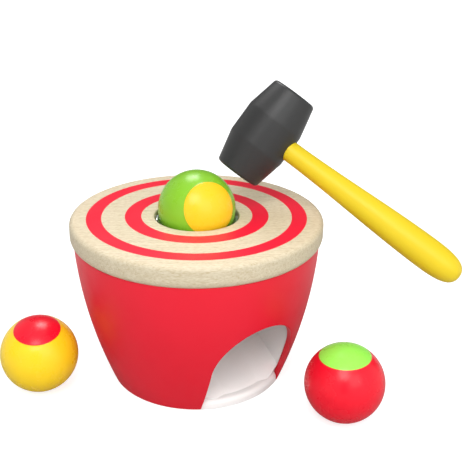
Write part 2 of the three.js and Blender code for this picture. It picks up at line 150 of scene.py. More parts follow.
# Hammer: the head's axis is local Z and the handle points along local X
HEAD_LENGTH = 61.3 * MM
HEAD_FACE_R = 14.5 * MM
HEAD_MID_R = 19 * MM
HEAD_MID_LENGTH = 19.8 * MM
HEAD_RIM = 1.6 * MM
HEAD_CREASE = 0.9 * MM
HEAD_DOME = 0.4 * MM
HANDLE_LENGTH = 126.5 * MM
HANDLE_ROOT_R = 6.5 * MM
HANDLE_GRIP_R = 9.9 * MM
HANDLE_GRIP_AT = 103 * MM
HANDLE_FULL = 0.7
HANDLE_BLUNT = 0.75
TENON_DEPTH = 26 * MM
HAMMER_AT = WAITING_BALL + Vector((44.8, -10.1, 43.1)) * MM
SWING_TURN = -49.1
SWING_LEAN = -22.3
SWING_ANGLE = 31.5

# Camera, as fitted to the photograph
CAMERA_AT = Vector((-276.2, -417.4, 305.0)) * MM
CAMERA_AIM = Vector((0.5419, 0.7458, -0.3875))
CAMERA_ROLL = 0.62
CAMERA_LENS = 67.18
CAMERA_SENSOR = 36

# Mesh steps, and the angles in degrees past which an edge is shaded sharp
ROUND_STEPS = 240
HALF_ROUND_STEPS = 60
BALL_STEPS = 96
SMALL_STEPS = 32
SIDE_STEPS = 32
CORNER_STEPS = 8
EXIT_EDGE_STEPS = 3
CLIP_EDGE_STEPS = 2
SHARP = 35
LID_SHARP = 20
BEYOND = 40 * MM
WELD = 1e-6


# Meshes

def wire(points, closed):
    """An outline of (radius, height) points in the XZ plane, and its corners."""
    bm = bmesh.new()
    corners = [bm.verts.new((radius, 0, height)) for radius, height in points]
    for start, end in zip(corners, corners[1:]):
        bm.edges.new((start, end))
    if closed:
        bm.edges.new((corners[-1], corners[0]))
    return bm, corners


def round_corner(bm, corner, radius):
    bmesh.ops.bevel(bm, geom=[corner], offset=radius, segments=CORNER_STEPS, profile=0.5,
                    affect="VERTICES", material=-1)


def arc(bm, start, centre, degrees, axis=Y_AXIS, steps=CORNER_STEPS):
    """Carries a vertex round an axis through centre and gives the arc's last vertex."""
    swept = bmesh.ops.spin(bm, geom=[start], cent=centre, axis=axis,
                           angle=math.radians(degrees), steps=steps)
    return next(item for item in swept["geom_last"] if isinstance(item, bmesh.types.BMVert))


def line(bm, start, end):
    """A straight edge from a vertex to a place, and the vertex there."""
    corner = bm.verts.new(end)
    bm.edges.new((start, corner))
    return corner


def close_outline(bm, last, places, first):
    """Straight edges from an outline's last vertex through some places to its first."""
    for place in places:
        last = line(bm, last, place)
    bm.edges.new((last, first))


def tidy(bm):
    bmesh.ops.remove_doubles(bm, verts=bm.verts, dist=WELD)
    bmesh.ops.recalc_face_normals(bm, faces=bm.faces)
    return bm


def spun(bm, steps=ROUND_STEPS):
    """The outline turned once round the Z axis."""
    bmesh.ops.spin(bm, geom=bm.verts[:] + bm.edges[:], cent=(0, 0, 0), axis=UP,
                   angle=2 * math.pi, steps=steps, use_merge=True)
    return tidy(bm)


def drawn_out(bm, swept, travel):
    """Carries what an extrusion made to its place."""
    moved = [item for item in swept["geom"] if isinstance(item, bmesh.types.BMVert)]
    bmesh.ops.translate(bm, verts=moved, vec=travel)
    return tidy(bm)


def extruded(bm, travel):
    """A closed prism from the outline in bm."""
    bmesh.ops.contextual_create(bm, geom=bm.edges[:])
    return drawn_out(bm, bmesh.ops.extrude_face_region(bm, geom=bm.faces[:]), travel)


def placed(bm, matrix):
    bmesh.ops.transform(bm, matrix=matrix, verts=bm.verts)
    return bm


def add_rod(bm, radius, bottom, top, x, y):
    place = Matrix.Translation((x, y, (bottom + top) / 2))
    bmesh.ops.create_cone(bm, cap_ends=True, segments=SMALL_STEPS, radius1=radius, radius2=radius,
                          depth=top - bottom, matrix=place)


def add_block(bm, size, place):
    bmesh.ops.create_cube(bm, size=1, matrix=place @ Matrix.Diagonal((*size, 1)))


def helper_object(bm):
    mesh = bpy.data.meshes.new("helper")
    bm.to_mesh(mesh)
    bm.free()
    helper = bpy.data.objects.new("helper", mesh)
    bpy.context.scene.collection.objects.link(helper)
    return helper


def combined(base, tool, operation):
    """The boolean UNION, DIFFERENCE or INTERSECT of two closed meshes."""
    helpers = [helper_object(base), helper_object(tool)]
    join = helpers[0].modifiers.new("combine", "BOOLEAN")
    join.operation = operation
    join.solver = "EXACT"
    join.object = helpers[1]
    result = bmesh.new()
    result.from_object(helpers[0], bpy.context.evaluated_depsgraph_get())
    for helper in helpers:
        bpy.data.meshes.remove(helper.data)
    return tidy(result)


def piece(name, bm, body, nodes, materials, sharp=SHARP):
    """A finished mesh that rides on a body and stands for CAD nodes."""
    mesh = bpy.data.meshes.new(name)
    bm.to_mesh(mesh)
    bm.free()
    mesh.shade_smooth()
    mesh.set_sharp_from_angle(angle=math.radians(sharp))
    for material in materials:
        mesh.materials.append(material)
    made = bpy.data.objects.new(name, mesh)
    bpy.context.scene.collection.objects.link(made)
    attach(made, body)
    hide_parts(*nodes)
    return made


def even_normals(made):
    """Shades a cut piece by the size of its faces, so that flat stretches stay flat."""
    weighted = made.modifiers.new("even_normals", "WEIGHTED_NORMAL")
    weighted.keep_sharp = True


# Shader nodes

def srgb(red, green, blue):
    """A colour as read off a screen, from 0 to 255, for a shader."""
    def linear(value):
        share = value / 255
        return share / 12.92 if share <= 0.04045 else ((share + 0.055) / 1.055) ** 2.4
    return (linear(red), linear(green), linear(blue), 1)


def add(tree, kind, inputs=None, **settings):
    """A new node with its settings, its inputs set to values or linked from other nodes."""
    made = tree.nodes.new(kind)
    for name, value in settings.items():
        setattr(made, name, value)
    for name, value in (inputs or {}).items():
        if isinstance(value, bpy.types.NodeSocket):
            tree.links.new(value, made.inputs[name])
        else:
            made.inputs[name].default_value = value
    return made


def math_node(tree, operation, *values):
    return add(tree, "ShaderNodeMath", dict(enumerate(values)), operation=operation).outputs[0]


def mix_colour(tree, factor, first, second, blend="MIX"):
    inputs = {0: factor, 6: first, 7: second}
    return add(tree, "ShaderNodeMix", inputs, data_type="RGBA", blend_type=blend).outputs[2]


def remap(tree, value, low, high, to_low=0, to_high=1):
    inputs = {"Value": value, "From Min": low, "From Max": high, "To Min": to_low, "To Max": to_high}
    return add(tree, "ShaderNodeMapRange", inputs).outputs[0]


def noise(tree, vector, scale, detail, ragged=0.5, wavy=0.0):
    inputs = {"Vector": vector, "Scale": scale, "Detail": detail, "Roughness": ragged, "Distortion": wavy}
    return add(tree, "ShaderNodeTexNoise", inputs).outputs[0]


def marks(tree, vector, cells, shown, detail, ragged=0.5, wavy=0.0):
    """A mask of noise with so many cells a metre along each axis, cut to the range that shows."""
    mapped = add(tree, "ShaderNodeMapping", {"Vector": vector, "Scale": cells}).outputs[0]
    return remap(tree, noise(tree, mapped, 1.0, detail, ragged, wavy), *shown)


def bump(tree, height, distance):
    return add(tree, "ShaderNodeBump", {"Height": height, "Distance": distance}).outputs[0]


def object_coords(tree):
    return add(tree, "ShaderNodeTexCoord").outputs["Object"]


def axis_distance(tree, coords):
    """How far a place lies from the drum's axis."""
    flat = add(tree, "ShaderNodeVectorMath", {0: coords, 1: (1, 1, 0)}, operation="MULTIPLY").outputs[0]
    return add(tree, "ShaderNodeVectorMath", {0: flat}, operation="LENGTH").outputs["Value"]


def new_group(name, inputs, outputs):
    """An empty shader node group, its input sockets by name and its output node."""
    tree = bpy.data.node_groups.new(name, "ShaderNodeTree")
    for socket, kind in inputs.items():
        tree.interface.new_socket(socket, in_out="INPUT", socket_type=kind)
    for socket, kind in outputs.items():
        tree.interface.new_socket(socket, in_out="OUTPUT", socket_type=kind)
    entry = tree.nodes.new("NodeGroupInput")
    return tree, entry.outputs, tree.nodes.new("NodeGroupOutput")


def place_group(tree, group, inputs):
    return add(tree, "ShaderNodeGroup", inputs, node_tree=group).outputs


def new_material(name, constants):
    material = bpy.data.materials.new(name)
    material.use_nodes = True
    shader = material.node_tree.nodes["Principled BSDF"]
    for socket, value in constants.items():
        shader.inputs[socket].default_value = value
    return material, material.node_tree, shader


# Effects that several finishes share

# Beech grain: cells a metre along X, Y and Z, the range that shows, and each mark's share of the dark tone
GROWTH_LINES = (16, 620, 620)
GROWTH_LINES_SHOWN = (0.35, 0.68)
GROWTH_LINES_SHARE = 0.3
FLECKS = (420, 1300, 1300)
FLECKS_SHOWN = (0.36, 0.64)
FLECKS_SHARE = 0.34
RAYS = (300, 2000, 2000)
RAYS_SHOWN = (0.56, 0.66)
RAYS_SHARE = 0.34
RAYS_DEPTH = 0.7

# Handling: the ranges that show, and the slow tone's cells for each cell of the smudges
SMUDGES_SHOWN = (0.48, 0.75)
TONE_SHOWN = (0.3, 0.7)
TONE_CELLS = 0.31

# Skin: the wide ripple's cells and height for each of the fine ripple's
WIDE_CELLS = 0.16
WIDE_HEIGHT = 2.0


def beech_grain_group():
    """Faint growth lines along X, fine short flecks and dark rays."""
    tree, given, result = new_group(
        "beech_grain",
        {"Vector": "NodeSocketVector", "Pale": "NodeSocketColor", "Dark": "NodeSocketColor"},
        {"Color": "NodeSocketColor", "Height": "NodeSocketFloat"})
    lines = marks(tree, given["Vector"], GROWTH_LINES, GROWTH_LINES_SHOWN, detail=3.0, ragged=0.6, wavy=0.3)
    flecks = marks(tree, given["Vector"], FLECKS, FLECKS_SHOWN, detail=2.0)
    rays = marks(tree, given["Vector"], RAYS, RAYS_SHOWN, detail=1.0)
    share = math_node(tree, "MULTIPLY", lines, GROWTH_LINES_SHARE)
    share = math_node(tree, "MULTIPLY_ADD", flecks, FLECKS_SHARE, share)
    share = math_node(tree, "MULTIPLY_ADD", rays, RAYS_SHARE, share)
    tree.links.new(mix_colour(tree, share, given["Pale"], given["Dark"]), result.inputs["Color"])
    depth = math_node(tree, "MULTIPLY_ADD", rays, RAYS_DEPTH, lines)
    tree.links.new(math_node(tree, "SUBTRACT", 1.0, depth), result.inputs["Height"])
    return tree


def handling_group():
    """Faint smudges and a slow change of tone, as on a toy that has been held."""
    tree, given, result = new_group(
        "handling",
        {"Vector": "NodeSocketVector", "Scale": "NodeSocketFloat"},
        {"Smudges": "NodeSocketFloat", "Tone": "NodeSocketFloat"})
    cloud = noise(tree, given["Vector"], given["Scale"], detail=5.0, ragged=0.62)
    tree.links.new(remap(tree, cloud, *SMUDGES_SHOWN), result.inputs["Smudges"])
    slow = math_node(tree, "MULTIPLY", given["Scale"], TONE_CELLS)
    tone = noise(tree, given["Vector"], slow, detail=2.0)
    tree.links.new(remap(tree, tone, *TONE_SHOWN), result.inputs["Tone"])
    return tree


def skin_group():
    """The fine ripple of a sprayed or moulded surface."""
    tree, given, result = new_group(
        "skin",
        {"Vector": "NodeSocketVector", "Scale": "NodeSocketFloat"},
        {"Height": "NodeSocketFloat"})
    fine = noise(tree, given["Vector"], given["Scale"], detail=1.0)
    slow = math_node(tree, "MULTIPLY", given["Scale"], WIDE_CELLS)
    wide = noise(tree, given["Vector"], slow, detail=1.0)
    tree.links.new(math_node(tree, "MULTIPLY_ADD", wide, WIDE_HEIGHT, fine), result.inputs["Height"])
    return tree


BEECH_GRAIN = beech_grain_group()
HANDLING = handling_group()
SKIN = skin_group()


# Finishes

# Cells a metre, and how much rougher a smudge or a drawn line is than the rest
SMUDGE_CELLS = 55.0
SKIN_CELLS = 900.0
SMUDGE_DULLS = 0.09
DRAWN_SHOWN = (0.35, 0.65)
DRAWN_DULLS = 0.12

# Heights of ripple, pores and drawn lines
LACQUER_RIPPLE = 0.008 * MM
MOULDED_RIPPLE = 0.012 * MM
RUBBER_RIPPLE = 0.01 * MM
PORE_DEPTH = 0.03 * MM
DRAWN_DEPTH = 0.004 * MM

# Gloss
LACQUER_GLOSS = {"IOR": 1.5, "Specular IOR Level": 0.3}
MOULDED_GLOSS = {"IOR": 1.5, "Specular IOR Level": 0.35}
WHITE_GLOSS = {"IOR": 1.49}
BEECH_GLOSS = {"IOR": 1.45}
BARE_METAL = {"Metallic": 1.0}

# Beech: how its grain is turned, its roughness in the pores and between them, and the painted shade on its
# rim and side
GRAIN_TURN = -36
PORE_ROUGHNESS = 0.66
FACE_ROUGHNESS = 0.5
UNTINTED = (1, 1, 1, 1)
# Painted shade: the colour by which the lid's rounded rim and side are multiplied
RIM_PAINTED_SHADE = (0.755, 0.78, 0.79, 1)


def coated(name, colour, shade, roughness, ripple, gloss):
    """A smooth coloured surface: paint, lacquer or moulded plastic."""
    material, tree, shader = new_material(name, gloss)
    coords = object_coords(tree)
    held = place_group(tree, HANDLING, {"Vector": coords, "Scale": SMUDGE_CELLS})
    tree.links.new(mix_colour(tree, held["Tone"], colour, shade), shader.inputs["Base Color"])
    rough = remap(tree, held["Smudges"], 0, 1, roughness, roughness + SMUDGE_DULLS)
    tree.links.new(rough, shader.inputs["Roughness"])
    skin = place_group(tree, SKIN, {"Vector": coords, "Scale": SKIN_CELLS})
    tree.links.new(bump(tree, skin["Height"], ripple), shader.inputs["Normal"])
    return material


def lacquer(name, colour, shade, roughness=0.27):
    return coated(name, colour, shade, roughness, LACQUER_RIPPLE, LACQUER_GLOSS)


def beech(name, pale, dark):
    """Plain beech, its grain along one direction, with painted shade that darkens and greys its rim and
    side.
    """
    material, tree, shader = new_material(name, BEECH_GLOSS)
    coords = object_coords(tree)
    turn = {"Vector": coords, "Rotation": (0, 0, math.radians(-GRAIN_TURN))}
    along = add(tree, "ShaderNodeMapping", turn).outputs[0]
    grain = place_group(tree, BEECH_GRAIN, {"Vector": along, "Pale": pale, "Dark": dark})
    # Painted shade: the lid's rounded rim and side are made darker and greyer than its top
    edge = remap(tree, axis_distance(tree, coords), LID_R - LID_TOP_ROUND, LID_R)
    rim_shade = mix_colour(tree, edge, UNTINTED, RIM_PAINTED_SHADE)
    colour = mix_colour(tree, 1.0, grain["Color"], rim_shade, "MULTIPLY")
    tree.links.new(colour, shader.inputs["Base Color"])
    rough = remap(tree, grain["Height"], -RAYS_DEPTH, 1, PORE_ROUGHNESS, FACE_ROUGHNESS)
    tree.links.new(rough, shader.inputs["Roughness"])
    tree.links.new(bump(tree, grain["Height"], PORE_DEPTH), shader.inputs["Normal"])
    return material


def steel(name, pale, dark, roughness, cells):
    """Bright metal with fine drawn lines."""
    material, tree, shader = new_material(name, BARE_METAL)
    drawn = marks(tree, object_coords(tree), cells, DRAWN_SHOWN, detail=2.0)
    tree.links.new(mix_colour(tree, drawn, pale, dark), shader.inputs["Base Color"])
    rough = remap(tree, drawn, 0, 1, roughness, roughness + DRAWN_DULLS)
    tree.links.new(rough, shader.inputs["Roughness"])
    tree.links.new(bump(tree, drawn, DRAWN_DEPTH), shader.inputs["Normal"])
    return material


SHELL_RED = coated("shell_red", srgb(225, 19, 45), srgb(220, 17, 41), 0.42, MOULDED_RIPPLE, MOULDED_GLOSS)
WHITE_PLASTIC = coated("white_plastic", srgb(246, 244, 242), srgb(242, 240, 238), 0.4, MOULDED_RIPPLE,
                       WHITE_GLOSS)
LID_BEECH = beech("lid_beech", srgb(237, 223, 195), srgb(201, 178, 138))
RING_PAINT = lacquer("ring_paint", srgb(254, 24, 58), srgb(250, 22, 54), 0.33)
GREEN = lacquer("green_lacquer", srgb(136, 197, 48), srgb(130, 191, 44))
YELLOW = lacquer("yellow_lacquer", srgb(248, 211, 34), srgb(244, 205, 30))
RED = lacquer("red_lacquer", srgb(236, 18, 44), srgb(231, 16, 40))
DOT_GREEN = lacquer("dot_green", srgb(156, 240, 88), srgb(150, 234, 84))
DOT_YELLOW = lacquer("dot_yellow", srgb(250, 202, 38), srgb(246, 197, 34))
DOT_RED = lacquer("dot_red", srgb(236, 20, 46), srgb(231, 18, 42))
HANDLE_YELLOW = lacquer("handle_yellow", srgb(224, 197, 32), srgb(220, 192, 28), 0.42)
HEAD_GREY = coated("head_grey", srgb(48, 48, 48), srgb(44, 44, 44), 0.42, RUBBER_RIPPLE, MOULDED_GLOSS)
SPRING_STEEL = steel("spring_steel", srgb(240, 241, 244), srgb(218, 220, 226), 0.34, (900, 900, 60))
SCREW_STEEL = steel("screw_steel", srgb(190, 192, 196), srgb(160, 163, 168), 0.3, (700, 700, 700))


# Drum shell

def side_radius(z):
    """The flared side: a straight slope and a bulge that is widest at half height."""
    share = z / SHELL_TOP
    return FOOT_R + (RIM_R - FOOT_R) * share + 4 * BULGE * share * (1 - share)


def side_line(inset):
    heights = [SHELL_FOOT + (SHELL_TOP - SHELL_FOOT) * i / SIDE_STEPS for i in range(SIDE_STEPS + 1)]
    return [(side_radius(z) - inset, z) for z in heights]


def drum_core(inset):
    """Everything inside the drum's side, less an inset."""
    points = side_line(inset)
    return spun(wire([(0, points[0][1]), *points, (0, points[-1][1])], closed=False)[0])


def arch_prism(clearance):
    """Everything in front of the axis that lies inside the arch, less a clearance."""
    half = EXIT_HALF - clearance
    bm = bmesh.new()
    first = bm.verts.new((half, 0, EXIT_SPRING))
    last = arc(bm, first, (0, 0, EXIT_SPRING), -180, steps=HALF_ROUND_STEPS)
    close_outline(bm, last, [(-half, 0, -BEYOND), (half, 0, -BEYOND)], first)
    return extruded(bm, (0, -RIM_R - BEYOND, 0))


def screw_boxes(kind):
    return [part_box(f"{kind}_{i + 1}") for i in range(SCREW_COUNT[kind])]


def screw_places(kind):
    """Where the screws of one kind stand: their boxes' middles, from above."""
    return [((low + high) / 2).to_2d() for low, high in screw_boxes(kind)]


def shell_fittings():
    """Bosses for the base screws, and their ribs and the lid's lugs, which reach into the wall."""
    bosses = bmesh.new()
    arms = bmesh.new()
    for place in screw_places("base_screw"):
        add_rod(bosses, BOSS_R, CHUTE_FOOT, CHUTE_FOOT + BOSS_H, *place)
        outwards = Matrix.Rotation(math.atan2(place.y, place.x), 4, "Z")
        middle = Vector((place.length + BOSS_R, 0, CHUTE_FOOT + BOSS_H / 2))
        add_block(arms, (2 * BOSS_R, RIB_T, BOSS_H), outwards @ Matrix.Translation(middle))
    for place in screw_places("lid_screw"):
        outwards = Matrix.Rotation(math.atan2(place.y, place.x), 4, "Z")
        middle = Vector((place.length + WALL / 2, 0, SHELL_TOP - LUG_T / 2 - EDGE_ROUND))
        add_block(arms, (LUG_REACH + WALL, LUG_W, LUG_T), outwards @ Matrix.Translation(middle))
    return bosses, combined(arms, drum_core(WALL / 2), "INTERSECT")


def soften_exit(bm):
    """Breaks the sharp edges where the arch cuts the wall."""
    reach = EXIT_HALF + EDGE_ROUND
    sharp = [edge for edge in bm.edges
             if len(edge.link_faces) == 2 and edge.calc_face_angle() > EXIT_FOLD
             and all(vert.co.y < -FOOT_R / 2 and abs(vert.co.x) < reach for vert in edge.verts)]
    bmesh.ops.bevel(bm, geom=sharp, offset=EXIT_EDGE, segments=EXIT_EDGE_STEPS, profile=0.5,
                    affect="EDGES", material=-1)


def rim_cradle():
    """The hollow of the rim, from its outer edge inwards, in which the lid's round foot lies."""
    radius = LID_FOOT_ROUND + LID_BOTTOM - SHELL_TOP
    centre_r = LID_R - LID_FOOT_ROUND
    centre_z = LID_BOTTOM + LID_FOOT_ROUND
    reach = math.asin((RIM_R - centre_r) / radius)
    turns = [reach * (1 - i / CORNER_STEPS) for i in range(CORNER_STEPS + 1)]
    return [(centre_r + radius * math.sin(turn), centre_z - radius * math.cos(turn)) for turn in turns]


def drum_shell():
    """The side turned from its outline, with its fittings inside and the arch cut through it."""
    outside = side_line(0)
    inside = side_line(WALL)[::-1]
    bm, corners = wire(outside + rim_cradle() + inside, closed=True)
    outer_foot, inner_foot = corners[0], corners[-1]
    outer_rim, inner_rim = corners[len(outside)], corners[-len(inside)]
    for corner in (outer_foot, inner_rim, inner_foot):
        round_corner(bm, corner, EDGE_ROUND)
    round_corner(bm, outer_rim, RIM_EDGE)
    shell = spun(bm)
    for fitting in shell_fittings():
        shell = combined(shell, fitting, "UNION")
    shell = combined(shell, arch_prism(0), "DIFFERENCE")
    soften_exit(shell)
    piece("flared_shell", shell, "drum", ["drum_shell"], [SHELL_RED])


# Beech lid

def beech_lid():
    """A turned disc with a hole, whose painted rings stand a paint layer proud."""
    top = [(LID_R, LID_TOP)]
    for outer, inner in RINGS:
        top += [(outer, LID_TOP), (outer - PAINT_SLOPE, LID_TOP + PAINT_T)]
        top += [(inner + PAINT_SLOPE, LID_TOP + PAINT_T), (inner, LID_TOP)]
    outline = [(HOLE_R, LID_BOTTOM), (LID_R, LID_BOTTOM), *top, (HOLE_R, LID_TOP)]
    bm, corners = wire(outline, closed=True)
    rounds = {0: HOLE_ROUND, 1: LID_FOOT_ROUND, 2: LID_TOP_ROUND, len(outline) - 1: HOLE_ROUND}
    for index, radius in rounds.items():
        round_corner(bm, corners[index], radius)
    lid = spun(bm)
    for face in lid.faces:
        middle = face.calc_center_median()
        radius = middle.to_2d().length
        painted = any(inner < radius < outer for outer, inner in RINGS)
        face.material_index = int(painted and middle.z > LID_TOP)
    piece("beech_lid", lid, "drum", ["wood_lid"], [LID_BEECH, RING_PAINT], LID_SHARP)


# Base plate

def plate_blank(foot_r, top_r):
    """A disc with a slightly rounded foot and a rounder lip."""
    bm, corners = wire([(0, 0), (foot_r, 0), (top_r, BASE_TOP), (0, BASE_TOP)], closed=False)
    round_corner(bm, corners[1], BASE_FOOT_ROUND)
    round_corner(bm, corners[2], BASE_LIP_ROUND)
    return spun(bm)


def base_plate():
    """A disc inside the shell, with a tongue that fills the foot of the arch."""
    inset = WALL + FIT
    disc = plate_blank(side_radius(SHELL_FOOT) - inset, side_radius(BASE_TOP) - inset)
    tongue = combined(plate_blank(FOOT_R, FOOT_R), arch_prism(FIT), "INTERSECT")
    plate = combined(disc, tongue, "UNION")
    sinks = bmesh.new()
    for place in screw_places("base_screw") + screw_places("chute_screw"):
        add_rod(sinks, SINK_R, -BEYOND, SINK_DEPTH, *place)
    plate = combined(plate, sinks, "DIFFERENCE")
    even_normals(piece("floor_plate", plate, "drum", ["base_plate"], [WHITE_PLASTIC]))


# Chute

def well_prism(half, bottom, top):
    """Straight sides towards the exit and a half-round back, seen from above."""
    bm = bmesh.new()
    first = bm.verts.new((half, 0, bottom))
    last = arc(bm, first, (0, 0, bottom), 180, UP, HALF_ROUND_STEPS)
    close_outline(bm, last, [(-half, -RIM_R, bottom), (half, -RIM_R, bottom)], first)
    return extruded(bm, (0, 0, top - bottom))


def gutter_prism(drop):
    """Everything above the gutter, which slopes down to the ramp's foot."""
    half = CHUTE_HALF + OVERCUT
    bank = (half - GUTTER_FLAT) * math.tan(GUTTER_BANK)
    above = CHUTE_TOP + BEYOND
    bm, corners = wire([(-half, above), (-half, bank), (-GUTTER_FLAT, 0), (GUTTER_FLAT, 0), (half, bank),
                        (half, above)], closed=True)
    for valley in corners[2:4]:
        round_corner(bm, valley, VALLEY_ROUND)
    bmesh.ops.translate(bm, verts=bm.verts, vec=(0, -2 * BEYOND, 0))
    prism = extruded(bm, (0, 2 * RIM_R + 2 * BEYOND, 0))
    foot = Matrix.Translation((0, -RAMP_FOOT_R, CHUTE_FOOT + RAMP_LIP - drop))
    return placed(prism, foot @ Matrix.Rotation(RAMP_SLOPE, 4, "X"))


def mouth_prism():
    """The base plate's open rim in front of the ramp, between sides that fall back."""
    corner = math.asin(MOUTH_HALF / RAMP_FOOT_R)
    corner_y = -RAMP_FOOT_R * math.cos(corner)
    outer_x = CHUTE_HALF + OVERCUT
    outer_y = corner_y - (outer_x - MOUTH_HALF) * math.tan(MOUTH_FLARE)
    far_y = -RIM_R - BEYOND
    bm = bmesh.new()
    first = bm.verts.new((-MOUTH_HALF, corner_y, -BEYOND))
    last = arc(bm, first, (0, 0, -BEYOND), math.degrees(2 * corner), UP, 2 * CORNER_STEPS)
    sides = [(outer_x, outer_y), (outer_x, far_y), (-outer_x, far_y), (-outer_x, outer_y)]
    close_outline(bm, last, [(x, y, -BEYOND) for x, y in sides], first)
    prism = extruded(bm, (0, 0, BEYOND + MOUTH_H))
    return placed(prism, Matrix.Translation((0, 0, CHUTE_FOOT)) @ Matrix.Shear("XY", 4, (0, MOUTH_LEAN)))


def ball_chute():
    """A walled gutter that catches the ball and rolls it out, hollow underneath, on two bosses."""
    floor_drop = CHUTE_WALL / math.cos(RAMP_SLOPE)
    high = CHUTE_TOP + BEYOND
    chute = well_prism(CHUTE_HALF + CHUTE_WALL, CHUTE_FOOT, CHUTE_TOP)
    chute = combined(chute, drum_core(WALL + FIT), "INTERSECT")
    room = combined(gutter_prism(0), well_prism(CHUTE_HALF, -BEYOND, high), "INTERSECT")
    chute = combined(chute, room, "DIFFERENCE")
    under = combined(well_prism(CHUTE_HALF, -BEYOND, high), gutter_prism(floor_drop), "DIFFERENCE")
    toe = bmesh.new()
    middle = Vector((0, RAMP_TOE - RAMP_FOOT_R - RIM_R / 2, 0))
    add_block(toe, (2 * RIM_R, RIM_R, 2 * high), Matrix.Translation(middle))
    under = combined(under, toe, "DIFFERENCE")
    chute = combined(chute, under, "DIFFERENCE")
    bosses = bmesh.new()
    for place in screw_places("chute_screw"):
        add_rod(bosses, BOSS_R, CHUTE_FOOT, CHUTE_TOP, *place)
    bosses = combined(bosses, gutter_prism(floor_drop / 2), "DIFFERENCE")
    chute = combined(chute, bosses, "UNION")
    chute = combined(chute, mouth_prism(), "DIFFERENCE")
    even_normals(piece("white_chute", chute, "drum", ["ball_chute"], [WHITE_PLASTIC]))


# Spring clips

def clip_strip():
    """Foot under the lid, strand up the hole's wall, hairpin, finger towards the ball and tail."""
    foot_z = LID_BOTTOM - CLIP_SEAT - CLIP_T / 2
    strand_r = math.sqrt((HOLE_R - FIT) ** 2 - (CLIP_W / 2) ** 2) - CLIP_T / 2
    hairpin = Vector((strand_r - CLIP_TOP_BEND, 0, LID_TOP - CLIP_DROP - CLIP_T / 2 - CLIP_TOP_BEND))
    finger_from_ball = BALL_R + FIT + CLIP_T / 2
    rise = WAITING_BALL.z - hairpin.z
    lean = math.atan2(rise, hairpin.x)
    lean += math.acos((finger_from_ball + CLIP_TOP_BEND) / math.hypot(hairpin.x, rise))
    crest_z = LID_BOTTOM + CLIP_CREST
    crest_r = (finger_from_ball - (WAITING_BALL.z - crest_z) * math.sin(lean)) / math.cos(lean)
    crest = Vector((crest_r, 0, crest_z))
    bm = bmesh.new()
    last = line(bm, bm.verts.new((HOLE_R + CLIP_FOOT, 0, foot_z)), (strand_r + CLIP_HEEL_BEND, 0, foot_z))
    last = arc(bm, last, (strand_r + CLIP_HEEL_BEND, 0, foot_z + CLIP_HEEL_BEND), 90)
    last = line(bm, last, (strand_r, 0, hairpin.z))
    last = arc(bm, last, hairpin, math.degrees(lean) - 180, steps=2 * CORNER_STEPS)
    last = line(bm, last, crest)
    line(bm, last, crest + CLIP_TAIL)
    bmesh.ops.translate(bm, verts=bm.verts, vec=(0, -CLIP_W / 2, 0))
    return drawn_out(bm, bmesh.ops.extrude_edge_only(bm, edges=bm.edges[:]), (0, CLIP_W, 0))


def spring_clips():
    for index in range(CLIP_COUNT):
        turn = Matrix.Rotation(math.radians(CLIP_TURN + 360 * index / CLIP_COUNT), 4, "Z")
        made = piece(f"bent_clip_{index + 1}", placed(clip_strip(), turn), "drum",
                     [f"spring_clip_{index + 1}"], [SPRING_STEEL])
        thick = made.modifiers.new("thickness", "SOLIDIFY")
        thick.thickness = CLIP_T
        thick.offset = 0
        edge = made.modifiers.new("edges", "BEVEL")
        edge.width = CLIP_EDGE
        edge.segments = CLIP_EDGE_STEPS
        edge.limit_method = "ANGLE"
        edge.angle_limit = CLIP_FOLD


# Screws

def screw(length):
    """A pan head with a cross recess below Z = 0 and a pointed shank above it."""
    bm, corners = wire([(0, -SCREW_HEAD_H), (SCREW_HEAD_FLAT, -SCREW_HEAD_H),
                        (SCREW_HEAD_R, -SCREW_HEAD_H / 2), (SCREW_HEAD_R, 0), (SCREW_SHANK_R, 0),
                        (SCREW_SHANK_R, length - SCREW_TIP), (0, length)], closed=False)
    for corner in (corners[2], corners[1]):
        round_corner(bm, corner, SCREW_HEAD_H / 3)
    body = spun(bm, SMALL_STEPS)
    for size in ((RECESS_L, RECESS_W, RECESS_DEPTH), (RECESS_W, RECESS_L, RECESS_DEPTH)):
        slot = bmesh.new()
        add_block(slot, size, Matrix.Translation((0, 0, RECESS_DEPTH / 2 - SCREW_HEAD_H)))
        body = combined(body, slot, "DIFFERENCE")
    return body


def screws(kind):
    """The screws of one kind, each stopped at another turn."""
    for index, (low, high) in enumerate(screw_boxes(kind)):
        node = f"{kind}_{index + 1}"
        middle = (low + high) / 2
        place = Matrix.Translation((middle.x, middle.y, low.z + SCREW_HEAD_H))
        turn = Matrix.Rotation(math.radians(SCREW_STOP * index), 4, "Z")
        made = placed(screw(high.z - low.z - SCREW_HEAD_H), place @ turn)
        piece(f"{node}_pan_head", made, "drum", [node], [SCREW_STEEL])


# Balls

def painted_ball(node, dot, paints):
    """A turned ball with a painted dot whose edge stands a paint layer proud."""
    low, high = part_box(node)
    axis, half_angle = dot
    bm = bmesh.new()
    pole = bm.verts.new((0, 0, BALL_R + DOT_STEP))
    edge = arc(bm, pole, (0, 0, 0), half_angle, steps=BALL_STEPS // 6)
    below = math.radians(half_angle + DOT_EDGE)
    foot = line(bm, edge, (BALL_R * math.sin(below), 0, BALL_R * math.cos(below)))
    arc(bm, foot, (0, 0, 0), 180 - half_angle - DOT_EDGE, steps=BALL_STEPS // 2)
    ball = spun(bm, BALL_STEPS)
    for face in ball.faces:
        away = face.calc_center_median().angle(UP)
        face.material_index = int(away < below)
    turn = UP.rotation_difference(axis).to_matrix().to_4x4()
    ball = placed(ball, Matrix.Translation((low + high) / 2) @ turn)
    piece(f"{node}_painted", ball, node, [node], paints)


# Hammer

HAMMER_PLACE = (Matrix.Translation(HAMMER_AT)
                @ Matrix.Rotation(math.radians(SWING_TURN), 4, "Z")
                @ Matrix.Rotation(math.radians(SWING_LEAN), 4, "X")
                @ Matrix.Rotation(math.radians(SWING_ANGLE), 4, "Y"))
ALONG_HANDLE = Matrix.Rotation(math.radians(90), 4, "Y")


